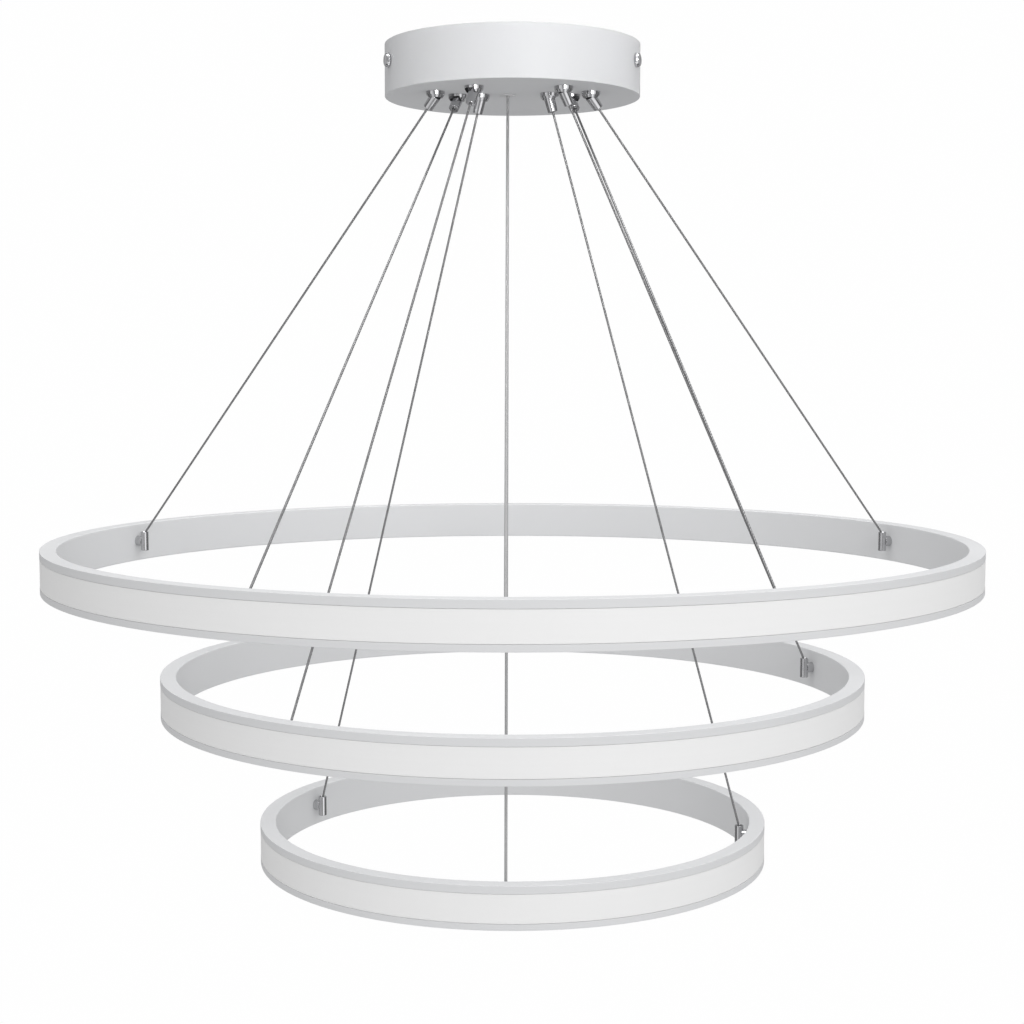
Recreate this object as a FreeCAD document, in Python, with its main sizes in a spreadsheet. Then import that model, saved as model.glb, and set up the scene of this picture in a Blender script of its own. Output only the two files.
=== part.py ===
import FreeCAD, Part
import math
import os

import Sketcher

# Three-ring LED chandelier. Millimetres, +Z up, the ceiling is the plane z = 0, -Y is the front.
# Azimuths are degrees round the vertical axis, from the front, positive towards +X.

SIZES = {
    # drum-shaped ceiling cover and the plate that carries it
    "canopy_radius": 109.0,
    "canopy_height": 44.0,
    "canopy_wall": 1.2,
    "plate_edge_gap": 3.0,
    "plate_thick": 1.5,
    "mains_hole_radius": 12.0,
    "ceiling_hole_radius": 2.6,
    "ceiling_hole_spacing": 160.0,
    "lug_width": 16.0,
    "lug_drop": 25.0,
    # side screws that hold the cover on the plate's lugs
    "side_screw_drop": 18.0,
    "side_screw_radius": 2.0,
    "side_screw_head_radius": 6.0,
    "side_screw_head_length": 4.0,
    "side_screw_length": 13.0,
    "lug_nut_radius": 4.5,
    "lug_nut_length": 4.0,
    # electrical parts under the plate
    "driver_length": 126.0,
    "driver_width": 42.0,
    "driver_height": 26.0,
    "driver_offset": 42.0,
    "driver_ear_length": 12.0,
    "driver_ear_thick": 2.5,
    "terminal_length": 34.0,
    "terminal_width": 22.0,
    "terminal_height": 16.0,
    "terminal_x": 47.0,
    "terminal_y": -16.0,
    "earth_screw_x": -50.0,
    "earth_screw_y": -14.0,
    "plate_screw_radius": 1.9,
    "plate_screw_head_radius": 3.8,
    "plate_screw_head_length": 2.5,
    # swivelling wire grippers
    "collar_radius": 8.0,
    "collar_height": 5.4,
    "stem_radius": 4.0,
    "stem_length": 9.0,
    "socket_radius": 5.2,
    "pivot_inset": 1.0,
    "notch_rise": 2.2,
    "nut_across_flats": 13.0,
    "nut_height": 4.0,
    "barrel_head_radius": 4.7,
    "barrel_tip_radius": 4.2,
    "barrel_head_rise": 0.6,
    "barrel_length": 11.5,
    # wires and leads
    "wire_radius": 1.0,
    "lead_radius": 1.2,
    "bore_clearance": 0.3,
    "outlet_x": -4.0,
    "outlet_y": -18.0,
    "lead_spacing": 3.2,
    "lead_bend_radius": 7.2,
    "outlet_flange_radius": 6.5,
    "outlet_flange_height": 1.2,
    "outlet_shank_radius": 4.8,
    "clamp_width": 12.0,
    "clamp_length": 20.0,
    "clamp_height": 9.0,
    # rings
    "large_radius": 400.0,
    "middle_radius": 304.0,
    "small_radius": 221.0,
    "large_drop": 423.0,
    "middle_drop": 535.0,
    "small_drop": 667.0,
    "ring_depth": 13.5,
    "ring_height": 35.0,
    "web_thick": 2.0,
    "flange_thick": 1.8,
    "lip_thick": 0.9,
    "upper_lip_height": 6.3,
    "lower_lip_height": 5.2,
    "diffuser_thick": 1.6,
    "diffuser_clearance": 0.5,
    "board_length": 50.0,
    "board_height": 12.0,
    "board_thick": 1.6,
    "tape_thick": 0.2,
    # fittings that hold the wire ends on the inner wall of a ring
    "fitting_radius": 3.75,
    "fitting_length": 18.0,
    "fitting_below_top": 7.0,
    "fitting_stand_off": 8.0,
    "boss_radius": 4.75,
    "mouth_radius": 3.1,
    "wire_seat_depth": 1.8,
    "wire_end_room": 0.75,
    "ring_screw_radius": 1.9,
    "ring_screw_head_radius": 3.3,
    "ring_screw_bite": 5.0,
    "gland_radius": 4.4,
    "gland_length": 15.0,
    "gland_mouth_radius": 3.7,
    "spigot_radius": 3.0,
    "gland_nut_radius": 5.0,
    "gland_nut_height": 1.4,
    "thread_clearance": 0.05,
}

SIDE_SCREW_AZIMUTHS = (-70.5, 70.5, 180.0)
BOARDS = {"large": 36, "middle": 27, "small": 20}

# gripper name: (x and y on the ceiling cover, ring, azimuth of its fitting on that ring)
GRIPPERS = {
    "large_rear_left": (-64.5, -38.0, "large", -112.0),
    "large_front_left": (-46.5, -20.0, "large", -29.0),
    "large_front_right": (49.5, -20.0, "large", 29.0),
    "large_rear_right": (65.5, -37.0, "large", 111.5),
    "middle_front_left": (-31.5, -68.0, "middle", -36.5),
    "middle_rear_right": (42.0, -66.0, "middle", 107.0),
    "small_rear_left": (-27.0, -20.0, "small", -117.0),
    "small_rear_right": (31.0, -28.0, "small", 86.0),
}

# ring: (place in the row of lead holes, front to back, azimuth of the lead's gland on that ring)
LEADS = {"large": (-1, -0.7), "small": (0, -1.5), "middle": (1, 181.5)}

doc = FreeCAD.newDocument("ring_chandelier")


class Size:
    """A length, as a number and as the expression over the sheet's cells that gives it."""

    def __init__(self, number, text):
        self.number = float(number)
        self.text = text

    def join(self, other, sign, number):
        other_text = other.text if isinstance(other, Size) else repr(float(other))
        return Size(number, f"({self.text} {sign} {other_text})")

    def __add__(self, other):
        return self.join(other, "+", self.number + plain(other))

    def __sub__(self, other):
        return self.join(other, "-", self.number - plain(other))

    def __mul__(self, other):
        return self.join(other, "*", self.number * plain(other))

    def __truediv__(self, other):
        return self.join(other, "/", self.number / plain(other))

    def __neg__(self):
        return Size(-self.number, f"(0 - {self.text})")


def plain(value):
    """The number of a Size or of a plain number."""
    return value.number if isinstance(value, Size) else float(value)


def make_sheet():
    """The sheet of driving dimensions, and each of them as a Size."""
    sheet = doc.addObject("Spreadsheet::Sheet", "Sizes")
    for row, (alias, value) in enumerate(SIZES.items(), start=1):
        sheet.set(f"A{row}", alias)
        sheet.set(f"B{row}", str(value))
        sheet.setAlias(f"B{row}", alias)
    doc.recompute()
    return {alias: Size(value, f"Sizes.{alias}") for alias, value in SIZES.items()}


size = make_sheet()
parts = {}

ZERO = Size(0.0, "0")
DOWN = FreeCAD.Vector(0, 0, -1)
UP = FreeCAD.Vector(0, 0, 1)


# ---------- small helpers ----------


def bind(thing, **values):
    """Ties properties of an object to the sheet."""
    for name, value in values.items():
        setattr(thing, name, plain(value))
        if isinstance(value, Size):
            thing.setExpression(name, value.text)


def keep(label, thing):
    """Names an object as a finished sub-part."""
    thing.Label = label
    parts[label] = thing
    return thing


def vector(x, y, z):
    return FreeCAD.Vector(plain(x), plain(y), plain(z))


def round_z(azimuth):
    """A turn round the vertical axis that carries +X to the direction of this azimuth."""
    return FreeCAD.Rotation(UP, azimuth - 90.0)


def at_azimuth(radius, azimuth, z):
    """The point at this radius, azimuth and height."""
    turn = math.radians(azimuth)
    r = plain(radius)
    return FreeCAD.Vector(r * math.sin(turn), -r * math.cos(turn), plain(z))


def place(thing, position, rotation=None):
    thing.Placement = FreeCAD.Placement(position, rotation or FreeCAD.Rotation())
    return thing


def cylinder(radius, length, position, rotation=None):
    """A cylinder from its position along its turned Z axis."""
    rod = doc.addObject("Part::Cylinder", "cylinder")
    bind(rod, Radius=radius, Height=length)
    return place(rod, position, rotation)


def cone(radius_start, radius_end, length, position, rotation=None):
    taper = doc.addObject("Part::Cone", "cone")
    bind(taper, Radius1=radius_start, Radius2=radius_end, Height=length)
    return place(taper, position, rotation)


def box(length, width, height, position, rotation=None):
    """A box whose position is its corner before it is turned."""
    block = doc.addObject("Part::Box", "box")
    bind(block, Length=length, Width=width, Height=height)
    return place(block, position, rotation)


def fused(*things):
    union = doc.addObject("Part::MultiFuse", "fuse")
    union.Shapes = list(things)
    return union


def cut(base, tools):
    """The base less all the tools."""
    tools = list(tools)
    result = doc.addObject("Part::Cut", "cut")
    result.Base = base
    result.Tool = tools[0] if len(tools) == 1 else fused(*tools)
    return result


def group(things):
    """Separate solids that share one node."""
    compound = doc.addObject("Part::Compound", "group")
    compound.Links = list(things)
    return compound


def origin_plane(body, role):
    return next(f for f in body.Origin.OriginFeatures if f.Role == role)


def draw_outline(sketch, points):
    """A closed outline of straight lines, each corner tied to the sheet."""
    corners = [vector(x, y, 0) for x, y in points]
    last = len(corners) - 1
    for i, corner in enumerate(corners):
        following = corners[0 if i == last else i + 1]
        sketch.addGeometry(Part.LineSegment(corner, following), False)
    for i, (x, y) in enumerate(points):
        before = last if i == 0 else i - 1
        sketch.addConstraint(Sketcher.Constraint("Coincident", before, 2, i, 1))
        for kind, value in (("DistanceX", x), ("DistanceY", y)):
            number = sketch.addConstraint(Sketcher.Constraint(kind, -1, 1, i, 1, plain(value)))
            if isinstance(value, Size) and value is not ZERO:
                sketch.setExpression(f"Constraints[{number}]", value.text)


def turned_body(points):
    """A body turned round the vertical axis from an outline of (radius, height) corners."""
    body = doc.addObject("PartDesign::Body", "body")
    sketch = body.newObject("Sketcher::SketchObject", "outline")
    sketch.AttachmentSupport = [(origin_plane(body, "XZ_Plane"), "")]
    sketch.MapMode = "FlatFace"
    draw_outline(sketch, points)
    turn = body.newObject("PartDesign::Revolution", "turn")
    turn.Profile = sketch
    turn.ReferenceAxis = (sketch, ["V_Axis"])
    turn.Angle = 360.0
    sketch.Visibility = False
    return body


def padded_body(points, height, upward=True):
    """A body padded up from an outline of (x, y) corners, or down."""
    body = doc.addObject("PartDesign::Body", "body")
    sketch = body.newObject("Sketcher::SketchObject", "outline")
    sketch.AttachmentSupport = [(origin_plane(body, "XY_Plane"), "")]
    sketch.MapMode = "FlatFace"
    draw_outline(sketch, points)
    pad = body.newObject("PartDesign::Pad", "pad")
    pad.Profile = sketch
    pad.Reversed = not upward
    bind(pad, Length=height)
    return body


def rectangle(length, width):
    """The corners of a rectangle round the origin."""
    x, y = length / 2, width / 2
    return [(-x, -y), (x, -y), (x, y), (-x, y)]


# ---------- shared places ----------

CANOPY_BOTTOM = -size["canopy_height"]
CANOPY_FLOOR = CANOPY_BOTTOM + size["canopy_wall"]
CANOPY_INNER = size["canopy_radius"] - size["canopy_wall"]
PLATE_RADIUS = CANOPY_INNER - size["plate_edge_gap"]
PLATE_UNDERSIDE = -size["plate_thick"]
COLLAR_BOTTOM = CANOPY_BOTTOM - size["collar_height"]
PIVOT_HEIGHT = COLLAR_BOTTOM + size["pivot_inset"]
WIRE_BORE = size["wire_radius"] + size["bore_clearance"]
LEAD_BORE = size["lead_radius"] + size["bore_clearance"]


def ring_radius(ring):
    return size[f"{ring}_radius"]


def ring_inner(ring):
    return ring_radius(ring) - size["ring_depth"]


def ring_top(ring):
    return -size[f"{ring}_drop"]


# the mouths end just under the lowest edge of a slanting wire's or lead's end
MOUTH_DEPTH = size["wire_seat_depth"] + size["wire_radius"] * size["wire_end_room"]
GLAND_MOUTH_DEPTH = size["wire_seat_depth"] + size["lead_radius"] * size["wire_end_room"]


def fitting_axis(ring):
    return ring_inner(ring) - size["fitting_stand_off"]


def boss_height(ring):
    """The height of the screw that holds a fitting, the middle of the fitting."""
    return ring_top(ring) - size["fitting_below_top"] - size["fitting_length"] / 2


def wire_top(name):
    x, y, _, _ = GRIPPERS[name]
    return vector(x, y, PIVOT_HEIGHT)


def wire_bottom(ring, azimuth):
    seat = ring_top(ring) - size["fitting_below_top"] - size["wire_seat_depth"]
    return at_azimuth(fitting_axis(ring), azimuth, seat)


def along(direction):
    """The turn that carries +Z to a direction."""
    return FreeCAD.Rotation(UP, direction)


def wires_of(ring):
    """The gripper names and fitting azimuths of one ring."""
    return [(name, azimuth) for name, (_, _, owner, azimuth) in GRIPPERS.items() if owner == ring]


# ---------- ceiling cover and plate ----------


def side_screw_frame(azimuth, radius):
    """A place at a side screw's height, and the turn that points inwards."""
    inwards = at_azimuth(-1.0, azimuth, 0.0)
    return at_azimuth(radius, azimuth, -size["side_screw_drop"]), along(inwards)


def ceiling_cover():
    outline = [
        (ZERO, CANOPY_BOTTOM),
        (size["canopy_radius"], CANOPY_BOTTOM),
        (size["canopy_radius"], ZERO),
        (CANOPY_INNER, ZERO),
        (CANOPY_INNER, CANOPY_FLOOR),
        (ZERO, CANOPY_FLOOR),
    ]
    drum = turned_body(outline)
    depth = size["canopy_wall"] * 3
    below = CANOPY_BOTTOM - size["canopy_wall"]
    stem_hole = size["stem_radius"] + size["thread_clearance"] * 2
    holes = [cylinder(stem_hole, depth, vector(x, y, below)) for x, y, _, _ in GRIPPERS.values()]
    outlet_hole = size["outlet_shank_radius"] + size["thread_clearance"] * 2
    holes.append(cylinder(outlet_hole, depth, vector(size["outlet_x"], size["outlet_y"], below)))
    for azimuth in SIDE_SCREW_AZIMUTHS:
        outside = size["canopy_radius"] + size["canopy_wall"]
        position, inwards = side_screw_frame(azimuth, outside)
        screw_hole = size["side_screw_radius"] + size["bore_clearance"]
        holes.append(cylinder(screw_hole, size["canopy_wall"] * 4, position, inwards))
    keep("ceiling_cover", cut(drum, holes))


def plate_screw_places():
    """Where the driver's two screws and the earth screw stand under the plate."""
    half = (size["driver_length"] + size["driver_ear_length"]) / 2
    return {
        "driver_left": vector(-half, size["driver_offset"], 0),
        "driver_right": vector(half, size["driver_offset"], 0),
        "earth": vector(size["earth_screw_x"], size["earth_screw_y"], 0),
    }


def ceiling_plate():
    disc = cylinder(PLATE_RADIUS, size["plate_thick"], vector(0, 0, PLATE_UNDERSIDE))
    lug_outer = PLATE_RADIUS - size["plate_thick"]
    lugs, holes = [], []
    for azimuth in SIDE_SCREW_AZIMUTHS:
        turn = round_z(azimuth)
        corner = vector(lug_outer - size["plate_thick"], -size["lug_width"] / 2, -size["lug_drop"])
        lug = box(size["plate_thick"], size["lug_width"], size["lug_drop"], turn.multVec(corner), turn)
        lugs.append(lug)
        position, inwards = side_screw_frame(azimuth, lug_outer + size["plate_thick"])
        lug_hole = size["side_screw_radius"] + size["thread_clearance"]
        holes.append(cylinder(lug_hole, size["plate_thick"] * 3, position, inwards))
    through, below = size["plate_thick"] * 2, PLATE_UNDERSIDE - size["plate_thick"] / 2
    holes.append(cylinder(size["mains_hole_radius"], through, vector(0, 0, below)))
    for side in (-1, 1):
        x = size["ceiling_hole_spacing"] / 2 * side
        holes.append(cylinder(size["ceiling_hole_radius"], through, vector(x, 0, below)))
    for spot in plate_screw_places().values():
        screw_hole = size["plate_screw_radius"] + size["thread_clearance"]
        holes.append(cylinder(screw_hole, through, vector(spot.x, spot.y, below)))
    keep("ceiling_plate", cut(fused(disc, *lugs), holes))


def side_screws():
    """Knurled-head screws, each from outside the cover into the nut on a lug."""
    screws, nuts = [], []
    lug_inner = PLATE_RADIUS - size["plate_thick"] * 2
    for azimuth in SIDE_SCREW_AZIMUTHS:
        tip, _ = side_screw_frame(azimuth, size["canopy_radius"] - size["side_screw_length"])
        face, inwards = side_screw_frame(azimuth, size["canopy_radius"])
        outwards = along(at_azimuth(1.0, azimuth, 0.0))
        shank = cylinder(size["side_screw_radius"], size["side_screw_length"], tip, outwards)
        half_head = size["side_screw_head_length"] / 2
        rim = cylinder(size["side_screw_head_radius"], half_head, face, outwards)
        middle, _ = side_screw_frame(azimuth, size["canopy_radius"] + half_head)
        bevel = size["side_screw_head_radius"] - half_head / 2
        crown = cone(size["side_screw_head_radius"], bevel, half_head, middle, outwards)
        screws.append(fused(shank, rim, crown))
        seat, _ = side_screw_frame(azimuth, lug_inner)
        ring = cylinder(size["lug_nut_radius"], size["lug_nut_length"], seat, inwards)
        thread = size["side_screw_radius"] + size["thread_clearance"]
        nuts.append(cut(ring, [cylinder(thread, size["lug_nut_length"], seat, inwards)]))
    keep("cover_side_screws", group(screws))
    keep("plate_lug_nuts", group(nuts))


def mains_grommet():
    """The rubber bush in the plate's cable hole."""
    groove = size["mains_hole_radius"]
    lip = groove + size["plate_thick"]
    outline = [
        (groove - size["plate_thick"] * 2, PLATE_UNDERSIDE - size["plate_thick"]),
        (lip, PLATE_UNDERSIDE - size["plate_thick"]),
        (lip, PLATE_UNDERSIDE),
        (groove, PLATE_UNDERSIDE),
        (groove, ZERO),
        (groove - size["plate_thick"] * 2, ZERO),
    ]
    keep("mains_grommet", turned_body(outline))


# ---------- electrical parts inside the cover ----------


def led_driver():
    case = padded_body(rectangle(size["driver_length"], size["driver_width"]), size["driver_height"], False)
    reach = size["driver_length"] + size["driver_ear_length"] * 2
    ears = padded_body(rectangle(reach, size["driver_width"]), size["driver_ear_thick"], False)
    for body in (case, ears):
        place(body, vector(0, size["driver_offset"], PLATE_UNDERSIDE))
    places = plate_screw_places()
    below = PLATE_UNDERSIDE - size["driver_ear_thick"] * 2
    holes = []
    for side in ("driver_left", "driver_right"):
        spot = places[side]
        hole = size["plate_screw_radius"] + size["bore_clearance"]
        holes.append(cylinder(hole, size["driver_ear_thick"] * 3, vector(spot.x, spot.y, below)))
    keep("led_driver", cut(fused(case, ears), holes))


def plate_screw(spot, seat):
    """A pan-head screw pointing up, its head against the seat height."""
    head_bottom = seat - size["plate_screw_head_length"]
    head = cylinder(
        size["plate_screw_head_radius"], size["plate_screw_head_length"], vector(spot.x, spot.y, head_bottom)
    )
    shank = cylinder(size["plate_screw_radius"], -seat, vector(spot.x, spot.y, seat))
    return fused(head, shank)


def plate_screws():
    places = plate_screw_places()
    ear_face = PLATE_UNDERSIDE - size["driver_ear_thick"]
    driver = [plate_screw(places[side], ear_face) for side in ("driver_left", "driver_right")]
    keep("driver_screws", group(driver))
    keep("earth_screw", plate_screw(places["earth"], PLATE_UNDERSIDE))


def terminal_block():
    """Three-pole mains terminal, with a wire entry and a screw well for each pole."""
    block = padded_body(rectangle(size["terminal_length"], size["terminal_width"]), size["terminal_height"], False)
    place(block, vector(size["terminal_x"], size["terminal_y"], PLATE_UNDERSIDE))
    pitch = size["terminal_length"] / 3
    bottom = PLATE_UNDERSIDE - size["terminal_height"]
    front = size["terminal_y"] - size["terminal_width"] / 2
    wells = []
    for pole in (-1, 0, 1):
        x = size["terminal_x"] + pitch * pole
        entry_height = bottom + size["terminal_height"] / 2
        wells.append(
            cylinder(pitch / 4, size["terminal_width"], vector(x, front, entry_height), along(FreeCAD.Vector(0, 1, 0)))
        )
        wells.append(cylinder(pitch / 4, size["terminal_height"] / 2, vector(x, size["terminal_y"], bottom)))
    keep("terminal_block", cut(block, wells))


# ---------- wire grippers ----------


def wire_direction(name):
    _, _, ring, azimuth = GRIPPERS[name]
    return (wire_bottom(ring, azimuth) - wire_top(name)).normalize()


def collar(name):
    """The chrome socket under the cover, with its threaded stem; the notch lets the barrel swing out."""
    cone_foot = size["pivot_inset"] + size["notch_rise"]
    cone_top = size["pivot_inset"] + size["socket_radius"]
    stem_top = size["collar_height"] + size["stem_length"]
    outline = [
        (WIRE_BORE, cone_top),
        (WIRE_BORE, stem_top),
        (size["stem_radius"], stem_top),
        (size["stem_radius"], size["collar_height"]),
        (size["collar_radius"], size["collar_height"]),
        (size["collar_radius"], ZERO),
        (size["socket_radius"], ZERO),
        (size["socket_radius"], cone_foot),
        (size["socket_radius"] / 2, cone_top),
    ]
    socket = turned_body(outline)
    heading = wire_direction(name)
    turn = FreeCAD.Rotation(FreeCAD.Vector(1, 0, 0), FreeCAD.Vector(heading.x, heading.y, 0))
    foot = wire_top(name) - vector(0, 0, size["pivot_inset"])
    place(socket, foot, turn)
    half = size["barrel_head_radius"] + size["bore_clearance"]
    corner = foot + turn.multVec(vector(0, -half, -size["pivot_inset"]))
    notch = box(size["collar_radius"] + 1, half * 2, cone_foot + size["pivot_inset"], corner, turn)
    return cut(socket, [notch])


def lock_nut(name):
    """The hexagon nut on a stem, inside the cover."""
    x, y, _, _ = GRIPPERS[name]
    corner = size["nut_across_flats"] / math.sqrt(3)
    outline = [
        (corner * math.cos(math.radians(60 * i)), corner * math.sin(math.radians(60 * i))) for i in range(6)
    ]
    hexagon = place(padded_body(outline, size["nut_height"]), vector(x, y, CANOPY_FLOOR))
    thread = size["stem_radius"] + size["thread_clearance"]
    return cut(hexagon, [cylinder(thread, size["nut_height"], vector(x, y, CANOPY_FLOOR))])


def barrel(name):
    """The swivelling chrome barrel that grips the wire; its axis lies along the wire."""
    outline = [
        (WIRE_BORE, size["barrel_head_rise"]),
        (WIRE_BORE, -size["barrel_length"]),
        (size["barrel_tip_radius"], -size["barrel_length"]),
        (size["barrel_head_radius"], size["barrel_head_rise"]),
    ]
    body = place(turned_body(outline), wire_top(name), along(wire_direction(name) * -1))
    keep(f"gripper_barrel_{name}", body)


def steel_wire(name):
    _, _, ring, azimuth = GRIPPERS[name]
    start, end = wire_top(name), wire_bottom(ring, azimuth)
    length = (end - start).Length
    wire = cylinder(size["wire_radius"], length, start, along(end - start))
    keep(f"steel_wire_{name}", wire)


def grippers():
    keep("gripper_collars", group([collar(name) for name in GRIPPERS]))
    keep("gripper_lock_nuts", group([lock_nut(name) for name in GRIPPERS]))
    for name in GRIPPERS:
        barrel(name)
        steel_wire(name)


# ---------- supply leads ----------


def lead_outlet():
    """The bush in the cover that the three leads leave through."""
    x, y = size["outlet_x"], size["outlet_y"]
    flange_bottom = CANOPY_BOTTOM - size["outlet_flange_height"]
    flange = cylinder(
        size["outlet_flange_radius"], size["outlet_flange_height"], vector(x, y, flange_bottom)
    )
    shank = cylinder(size["outlet_shank_radius"], size["canopy_wall"], vector(x, y, CANOPY_BOTTOM))
    depth = size["canopy_wall"] + size["outlet_flange_height"]
    holes = [
        cylinder(LEAD_BORE, depth, vector(x, y + size["lead_spacing"] * row, flange_bottom))
        for row, _ in LEADS.values()
    ]
    keep("lead_outlet_bush", cut(fused(flange, shank), holes))


def lead_clamp():
    """The strain relief that grips the three leads above the outlet."""
    x, y = size["outlet_x"], size["outlet_y"]
    block = place(
        padded_body(rectangle(size["clamp_width"], size["clamp_length"]), size["clamp_height"]),
        vector(x, y, CANOPY_FLOOR),
    )
    grip = size["lead_radius"] + size["thread_clearance"]
    holes = [
        cylinder(grip, size["clamp_height"], vector(x, y + size["lead_spacing"] * row, CANOPY_FLOOR))
        for row, _ in LEADS.values()
    ]
    keep("lead_clamp", cut(block, holes))


def lead_bottom(ring):
    _, azimuth = LEADS[ring]
    return wire_bottom(ring, azimuth)


def supply_lead(ring):
    """A light grey lead: down through the clamp and bush, round a small bend, straight to its ring."""
    row, _ = LEADS[ring]
    x, y = size["outlet_x"], size["outlet_y"] + size["lead_spacing"] * row
    top = vector(x, y, CANOPY_FLOOR + size["clamp_height"])
    flange_bottom = vector(x, y, CANOPY_BOTTOM - size["outlet_flange_height"])
    end = lead_bottom(ring)
    bend = plain(size["lead_bend_radius"])
    corner = flange_bottom
    for _ in range(4):
        turn = DOWN.getAngle(end - corner)
        corner = flange_bottom + DOWN * (bend * math.tan(turn / 2))
    onward = (end - corner).normalize()
    tangent = bend * math.tan(turn / 2)
    arc_start, arc_end = corner - DOWN * tangent, corner + onward * tangent
    inside = (onward - DOWN).normalize()
    bow = bend / math.cos(turn / 2) - bend
    arc = Part.Arc(arc_start, corner + inside * bow, arc_end)
    path = Part.Wire(
        [Part.LineSegment(top, arc_start).toShape(), arc.toShape(), Part.LineSegment(arc_end, end).toShape()]
    )
    section = Part.Wire(Part.Circle(top, UP, plain(size["lead_radius"])).toShape())
    lead = doc.addObject("Part::Feature", "lead")
    lead.Shape = path.makePipeShell([section], True, False)
    length = (arc_start - top).Length + bend * turn + (end - arc_end).Length
    expected = math.pi * plain(size["lead_radius"]) ** 2 * length
    print(f"lead {ring}: length {length:.1f}, bend radius {bend}, volume ratio {lead.Shape.Volume / expected:.4f}")
    keep(f"supply_lead_{ring}", lead)


# ---------- rings ----------


def countersunk(ring, azimuth, clearance, proud, reach):
    """A 90-degree countersunk shape pointing inwards through the web: a screw, or the hole for one."""
    start = at_azimuth(ring_inner(ring) + size["web_thick"] + proud, azimuth, boss_height(ring))
    inwards = along(at_azimuth(-1.0, azimuth, 0.0))
    wide = size["ring_screw_head_radius"] + clearance + proud
    narrow = size["ring_screw_radius"] + clearance
    head = cone(wide, narrow, wide - narrow, start, inwards)
    shank = cylinder(narrow, proud + reach, start, inwards)
    return fused(head, shank)


def channel(ring):
    """The aluminium channel, open outwards, less the holes for its fittings."""
    inner, outer, top = ring_inner(ring), ring_radius(ring), ring_top(ring)
    bottom = top - size["ring_height"]
    web, hook = inner + size["web_thick"], outer - size["lip_thick"]
    under, over = top - size["flange_thick"], bottom + size["flange_thick"]
    outline = [
        (inner, top),
        (outer, top),
        (outer, top - size["upper_lip_height"]),
        (hook, top - size["upper_lip_height"]),
        (hook, under),
        (web, under),
        (web, over),
        (hook, over),
        (hook, bottom + size["lower_lip_height"]),
        (outer, bottom + size["lower_lip_height"]),
        (outer, bottom),
        (inner, bottom),
    ]
    height = boss_height(ring)
    holes = []
    for _, azimuth in wires_of(ring):
        hole = countersunk(ring, azimuth, size["thread_clearance"], size["web_thick"], size["web_thick"] * 2)
        holes.append(hole)
    _, azimuth = LEADS[ring]
    spigot_hole = size["spigot_radius"] + size["thread_clearance"]
    start = at_azimuth(web + size["web_thick"], azimuth, height)
    holes.append(cylinder(spigot_hole, size["web_thick"] * 3, start, along(at_azimuth(-1.0, azimuth, 0.0))))
    keep(f"{ring}_ring_channel", cut(turned_body(outline), holes))


def diffuser(ring):
    """The opal band behind the channel's lips."""
    face = ring_radius(ring) - size["lip_thick"] - size["diffuser_clearance"] / 2
    back = face - size["diffuser_thick"]
    high = ring_top(ring) - size["flange_thick"] - size["diffuser_clearance"]
    low = ring_top(ring) - size["ring_height"] + size["flange_thick"] + size["diffuser_clearance"]
    keep(f"{ring}_ring_diffuser", turned_body([(back, low), (face, low), (face, high), (back, high)]))


def led_boards(ring):
    """A chain of small boards taped to the web, with a gap where the lead comes in."""
    count = BOARDS[ring]
    pitch = 360.0 / count
    seat = ring_inner(ring) + size["web_thick"] + size["tape_thick"]
    low = ring_top(ring) - size["ring_height"] / 2 - size["board_height"] / 2
    boards = []
    for i in range(count):
        turn = round_z(LEADS[ring][1] + pitch * (i + 0.5))
        corner = turn.multVec(vector(seat, -size["board_length"] / 2, low))
        boards.append(box(size["board_thick"], size["board_length"], size["board_height"], corner, turn))
    keep(f"{ring}_ring_led_boards", group(boards))


def boss(ring, azimuth, radius, reach):
    """The round foot of a fitting, or a hole in it; the foot's edge touches the ring's curved inner wall."""
    outwards = along(at_azimuth(1.0, azimuth, 0.0))
    edge = size["boss_radius"] * size["boss_radius"] / (ring_inner(ring) * 2)
    start = at_azimuth(ring_inner(ring) - reach, azimuth, boss_height(ring))
    return cylinder(radius, reach - edge, start, outwards)


def wire_fitting(ring, azimuth):
    """A small upright cylinder on a foot, with a flared mouth that the wire's end sits in."""
    top = ring_top(ring) - size["fitting_below_top"]
    axis = fitting_axis(ring)
    foot_height = top - size["fitting_length"]
    post = cylinder(size["fitting_radius"], size["fitting_length"], at_azimuth(axis, azimuth, foot_height))
    foot = boss(ring, azimuth, size["boss_radius"], size["fitting_stand_off"] - size["fitting_radius"] / 2)
    mouth = cone(WIRE_BORE, size["mouth_radius"], MOUTH_DEPTH, at_azimuth(axis, azimuth, top - MOUTH_DEPTH))
    thread = size["ring_screw_radius"] + size["thread_clearance"]
    hole = boss(ring, azimuth, thread, size["ring_screw_bite"])
    return cut(fused(post, foot), [mouth, hole])


def fitting_screw(ring, azimuth):
    """A countersunk screw from inside the channel into a fitting's foot, flush with the web."""
    reach = size["web_thick"] + size["ring_screw_bite"] - size["bore_clearance"]
    return countersunk(ring, azimuth, ZERO, ZERO, reach)


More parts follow.
